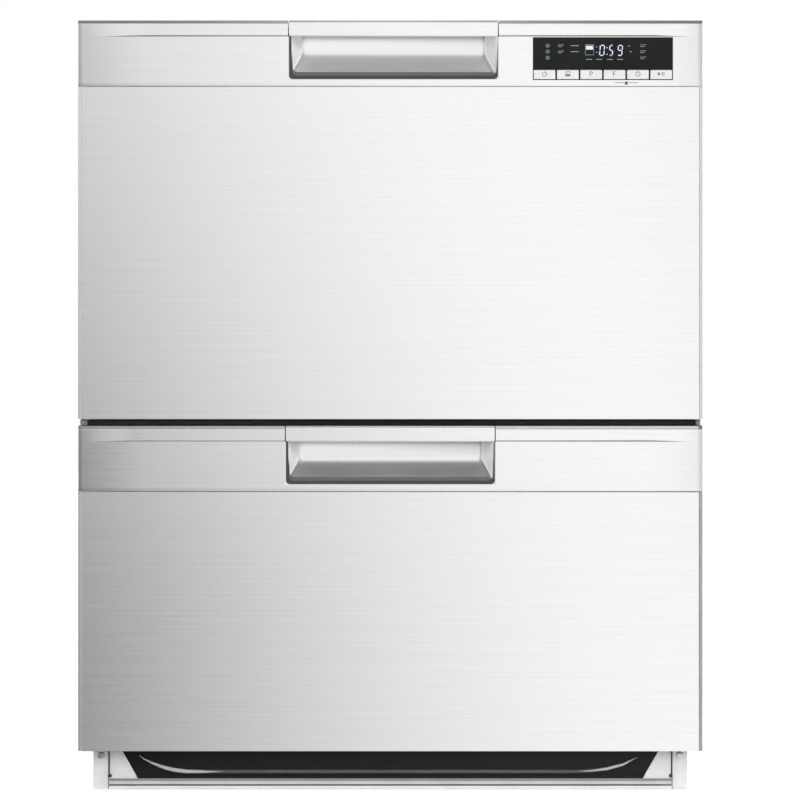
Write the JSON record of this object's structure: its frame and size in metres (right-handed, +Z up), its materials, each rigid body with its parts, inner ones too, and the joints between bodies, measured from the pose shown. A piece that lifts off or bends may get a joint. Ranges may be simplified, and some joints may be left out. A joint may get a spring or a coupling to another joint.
{
  "type": "built-in double-drawer dishwasher",
  "caption": "Built-in dishwasher with an upper and a lower drawer, brushed steel fronts, scoop handles, racks, spray arms, lids and telescopic rails.",
  "frame": {"origin": "on the floor, under the middle of the object's box", "axes": "+Z up, +X to the viewer's right, the drawers open along -Y"},
  "size_m": [0.598, 0.57, 0.738],
  "materials": {
    "front_steel": "horizontally brushed",
    "handle_steel": "satin",
    "cabinet_steel": "galvanised and painted sheet",
    "rail_steel": "bright zinc",
    "screw_steel": "zinc plated",
    "frame_plastic": "fine grain",
    "tub_plastic": "smooth moulded",
    "black_plastic": "moulded",
    "dark_plastic": "fine grain",
    "grey_plastic": "fine grain",
    "key_plastic": "smooth",
    "black_glass": "polished",
    "seal_rubber": "matte",
    "rack_wire": "nylon coated wire",
    "motor_paint": "moulded"
  },
  "bodies": {
    "cabinet": {"cabinet_wrapper": "cabinet_steel", "rear_panel": "cabinet_steel", "cabinet_screws": "screw_steel", "mid_shelf": "black_plastic", "base_pan": "black_plastic", "front_base_rail": "cabinet_steel", "inlet_valve": "dark_plastic", "drain_pump": "dark_plastic", "mains_gland": "dark_plastic", "lid_guides": "grey_plastic", "upper_outer_rails": "rail_steel", "lower_outer_rails": "rail_steel"},
    "upper_drawer": {"upper_front_panel": "front_steel", "upper_fascia": "front_steel", "upper_handle": "handle_steel", "upper_door_frame": "frame_plastic", "upper_tub": "tub_plastic", "upper_inner_rails": "rail_steel", "upper_wash_motor": "motor_paint", "upper_rack": "rack_wire", "upper_dispenser": "grey_plastic", "cutlery_basket": "grey_plastic", "display_window": "black_glass", "control_module": "dark_plastic"},
    "lower_drawer": {"lower_front_panel": "front_steel", "lower_fascia": "front_steel", "lower_handle": "handle_steel", "lower_door_frame": "frame_plastic", "lower_tub": "tub_plastic", "lower_inner_rails": "rail_steel", "lower_wash_motor": "motor_paint", "lower_rack": "rack_wire", "lower_dispenser": "grey_plastic"},
    "upper_middle_rail": {"upper_middle_rails": "rail_steel"},
    "lower_middle_rail": {"lower_middle_rails": "rail_steel"},
    "upper_lid": {"upper_lid": "tub_plastic", "upper_lid_seal": "seal_rubber"},
    "lower_lid": {"lower_lid": "tub_plastic", "lower_lid_seal": "seal_rubber"},
    "pump_impeller": {"pump_impeller": "grey_plastic"},
    "cup_shelf": {"cup_shelf": "rack_wire"},
    "folding_tines": {"folding_tines": "rack_wire"},
    "front_left_foot": {"front_left_foot": "dark_plastic"},
    "front_right_foot": {"front_right_foot": "dark_plastic"},
    "rear_left_foot": {"rear_left_foot": "dark_plastic"},
    "rear_right_foot": {"rear_right_foot": "dark_plastic"},
    "power_key": {"power_key": "key_plastic"},
    "half_load_key": {"half_load_key": "key_plastic"},
    "program_key": {"program_key": "key_plastic"},
    "function_key": {"function_key": "key_plastic"},
    "delay_key": {"delay_key": "key_plastic"},
    "start_key": {"start_key": "key_plastic"},
    "upper_spray_arm": {"upper_spray_arm": "grey_plastic"},
    "upper_drain_filter": {"upper_drain_filter": "grey_plastic"},
    "upper_dispenser_flap": {"upper_dispenser_flap": "grey_plastic"},
    "upper_rinse_cap": {"upper_rinse_cap": "dark_plastic"},
    "lower_spray_arm": {"lower_spray_arm": "grey_plastic"},
    "lower_drain_filter": {"lower_drain_filter": "grey_plastic"},
    "lower_dispenser_flap": {"lower_dispenser_flap": "grey_plastic"},
    "lower_rinse_cap": {"lower_rinse_cap": "dark_plastic"}
  },
  "joints": [
    {"name": "upper_drawer_slide", "type": "slide", "parent": "cabinet", "child": "upper_drawer", "axis": [0, -1, 0], "range_m": [0, 0.47]},
    {"name": "upper_middle_rail_slide", "type": "slide", "parent": "cabinet", "child": "upper_middle_rail", "axis": [0, -1, 0], "range_m": [0, 0.235]},
    {"name": "upper_lid_drop", "type": "slide", "parent": "cabinet", "child": "upper_lid", "axis": [0, 0, -1], "range_m": [0, 0.008]},
    {"name": "lower_drawer_slide", "type": "slide", "parent": "cabinet", "child": "lower_drawer", "axis": [0, -1, 0], "range_m": [0, 0.47]},
    {"name": "lower_middle_rail_slide", "type": "slide", "parent": "cabinet", "child": "lower_middle_rail", "axis": [0, -1, 0], "range_m": [0, 0.235]},
    {"name": "lower_lid_drop", "type": "slide", "parent": "cabinet", "child": "lower_lid", "axis": [0, 0, -1], "range_m": [0, 0.008]},
    {"name": "front_left_foot_screw", "type": "slide", "parent": "cabinet", "child": "front_left_foot", "axis": [0, 0, -1], "range_m": [0, 0.04]},
    {"name": "front_right_foot_screw", "type": "slide", "parent": "cabinet", "child": "front_right_foot", "axis": [0, 0, -1], "range_m": [0, 0.04]},
    {"name": "rear_left_foot_screw", "type": "slide", "parent": "cabinet", "child": "rear_left_foot", "axis": [0, 0, -1], "range_m": [0, 0.04]},
    {"name": "rear_right_foot_screw", "type": "slide", "parent": "cabinet", "child": "rear_right_foot", "axis": [0, 0, -1], "range_m": [0, 0.04]},
    {"name": "pump_impeller_spin", "type": "hinge", "parent": "cabinet", "child": "pump_impeller", "pos_m": [0.187, 0.215, 0.042], "axis": [1, 0, 0], "continuous": true},
    {"name": "upper_spray_spin", "type": "hinge", "parent": "upper_drawer", "child": "upper_spray_arm", "pos_m": [0, -0.002, 0.434], "axis": [0, 0, 1], "continuous": true},
    {"name": "upper_filter_twist", "type": "hinge", "parent": "upper_drawer", "child": "upper_drain_filter", "pos_m": [0, 0.123, 0.394], "axis": [0, 0, 1], "range_deg": [0, 45]},
    {"name": "lower_spray_spin", "type": "hinge", "parent": "lower_drawer", "child": "lower_spray_arm", "pos_m": [0, -0.002, 0.11], "axis": [0, 0, 1], "continuous": true},
    {"name": "lower_filter_twist", "type": "hinge", "parent": "lower_drawer", "child": "lower_drain_filter", "pos_m": [0, 0.123, 0.07], "axis": [0, 0, 1], "range_deg": [0, 45]},
    {"name": "upper_flap_hinge", "type": "hinge", "parent": "upper_drawer", "child": "upper_dispenser_flap", "pos_m": [-0.0576, -0.2163, 0.652], "axis": [0, 0, 1], "range_deg": [0, 100]},
    {"name": "upper_rinse_cap_turn", "type": "hinge", "parent": "upper_drawer", "child": "upper_rinse_cap", "pos_m": [0.036, -0.222, 0.652], "axis": [0, 1, 0], "range_deg": [0, 90]},
    {"name": "lower_flap_hinge", "type": "hinge", "parent": "lower_drawer", "child": "lower_dispenser_flap", "pos_m": [-0.0576, -0.2163, 0.264], "axis": [0, 0, 1], "range_deg": [0, 100]},
    {"name": "lower_rinse_cap_turn", "type": "hinge", "parent": "lower_drawer", "child": "lower_rinse_cap", "pos_m": [0.036, -0.222, 0.264], "axis": [0, 1, 0], "range_deg": [0, 90]},
    {"name": "cup_shelf_hinge", "type": "hinge", "parent": "upper_drawer", "child": "cup_shelf", "pos_m": [-0.248, -0.002, 0.5681], "axis": [0, 1, 0], "range_deg": [0, 90]},
    {"name": "folding_tines_hinge", "type": "hinge", "parent": "lower_drawer", "child": "folding_tines", "pos_m": [0, 0.04, 0.1441], "axis": [-1, 0, 0], "range_deg": [0, 85]},
    {"name": "power_key_press", "type": "slide", "parent": "upper_drawer", "child": "power_key", "axis": [0, 1, 0], "range_m": [0, 0.001], "stiffness_N_per_m": 800},
    {"name": "half_load_key_press", "type": "slide", "parent": "upper_drawer", "child": "half_load_key", "axis": [0, 1, 0], "range_m": [0, 0.001], "stiffness_N_per_m": 800},
    {"name": "program_key_press", "type": "slide", "parent": "upper_drawer", "child": "program_key", "axis": [0, 1, 0], "range_m": [0, 0.001], "stiffness_N_per_m": 800},
    {"name": "function_key_press", "type": "slide", "parent": "upper_drawer", "child": "function_key", "axis": [0, 1, 0], "range_m": [0, 0.001], "stiffness_N_per_m": 800},
    {"name": "delay_key_press", "type": "slide", "parent": "upper_drawer", "child": "delay_key", "axis": [0, 1, 0], "range_m": [0, 0.001], "stiffness_N_per_m": 800},
    {"name": "start_key_press", "type": "slide", "parent": "upper_drawer", "child": "start_key", "axis": [0, 1, 0], "range_m": [0, 0.001], "stiffness_N_per_m": 800}
  ],
  "couplings": [
    {"joint": "upper_middle_rail_slide", "follows": "upper_drawer_slide", "ratio": 0.5},
    {"joint": "lower_middle_rail_slide", "follows": "lower_drawer_slide", "ratio": 0.5}
  ]
}
